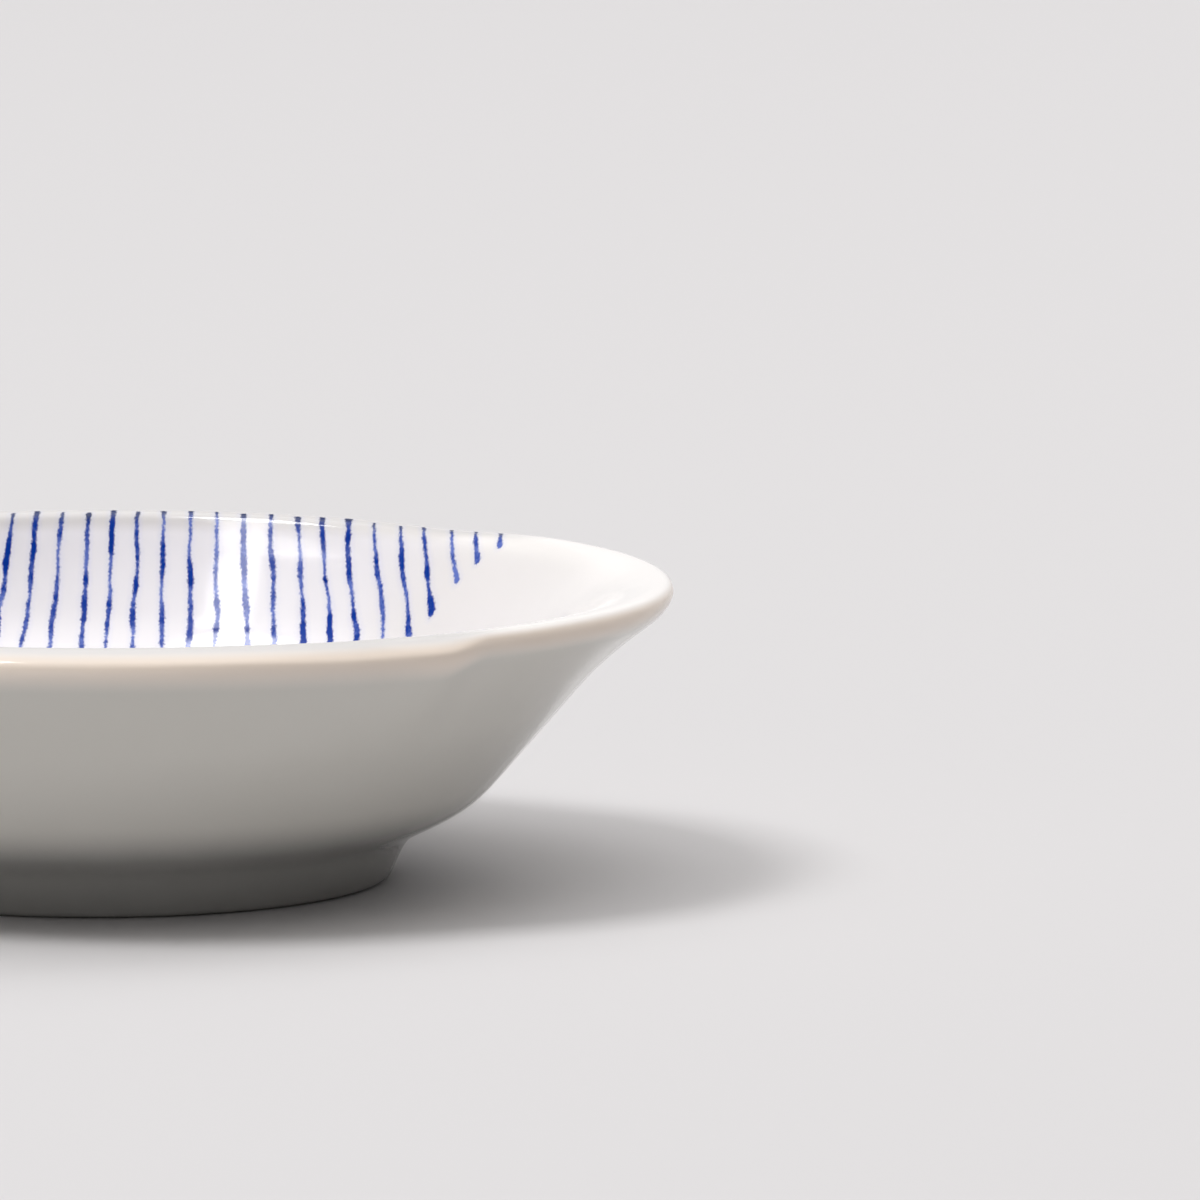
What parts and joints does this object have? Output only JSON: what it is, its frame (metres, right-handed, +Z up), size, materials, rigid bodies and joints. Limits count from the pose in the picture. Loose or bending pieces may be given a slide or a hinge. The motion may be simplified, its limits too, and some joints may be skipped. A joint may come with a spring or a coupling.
{
  "type": "shallow bowl",
  "caption": "Shallow porcelain side bowl on a low foot ring, its wall flared on one side into a broad thumb ear, brushed inside with parallel cobalt lines.",
  "frame": {"origin": "on the surface that the bowl stands on, under the middle of its box, so the foot ring's centre is 4.7 mm behind it at x = -4.7 mm", "axes": "+Z up, +X from the bowl towards the tip of the ear, +Y along the brushed lines"},
  "size_m": [0.1484, 0.139, 0.041],
  "materials": {
    "glazed_porcelain": "glossy clear glaze over white porcelain, bare clay only on the bottom of the foot ring",
    "cobalt_pigment": "brushed cobalt blue under the same glossy glaze, uneven in strength"
  },
  "bodies": {
    "root": {"porcelain_bowl": "glazed_porcelain", "brushed_line_01_left": "cobalt_pigment", "brushed_line_01_right": "cobalt_pigment", "brushed_line_02_left": "cobalt_pigment", "brushed_line_02_right": "cobalt_pigment", "brushed_line_03_left": "cobalt_pigment", "brushed_line_03_right": "cobalt_pigment", "brushed_line_04_left": "cobalt_pigment", "brushed_line_04_right": "cobalt_pigment", "brushed_line_05_left": "cobalt_pigment", "brushed_line_05_right": "cobalt_pigment", "brushed_line_06": "cobalt_pigment", "brushed_line_07": "cobalt_pigment", "brushed_line_08": "cobalt_pigment", "brushed_line_09": "cobalt_pigment", "brushed_line_10": "cobalt_pigment", "brushed_line_11": "cobalt_pigment", "brushed_line_12": "cobalt_pigment", "brushed_line_13": "cobalt_pigment", "brushed_line_14": "cobalt_pigment", "brushed_line_15": "cobalt_pigment", "brushed_line_16": "cobalt_pigment", "brushed_line_17": "cobalt_pigment", "brushed_line_18": "cobalt_pigment", "brushed_line_19": "cobalt_pigment", "brushed_line_20": "cobalt_pigment", "brushed_line_21": "cobalt_pigment", "brushed_line_22": "cobalt_pigment", "brushed_line_23": "cobalt_pigment", "brushed_line_24": "cobalt_pigment", "brushed_line_25": "cobalt_pigment", "brushed_line_26": "cobalt_pigment", "brushed_line_27": "cobalt_pigment", "brushed_line_28": "cobalt_pigment", "brushed_line_29": "cobalt_pigment", "brushed_line_30": "cobalt_pigment", "brushed_line_31": "cobalt_pigment"}
  },
  "joints": []
}
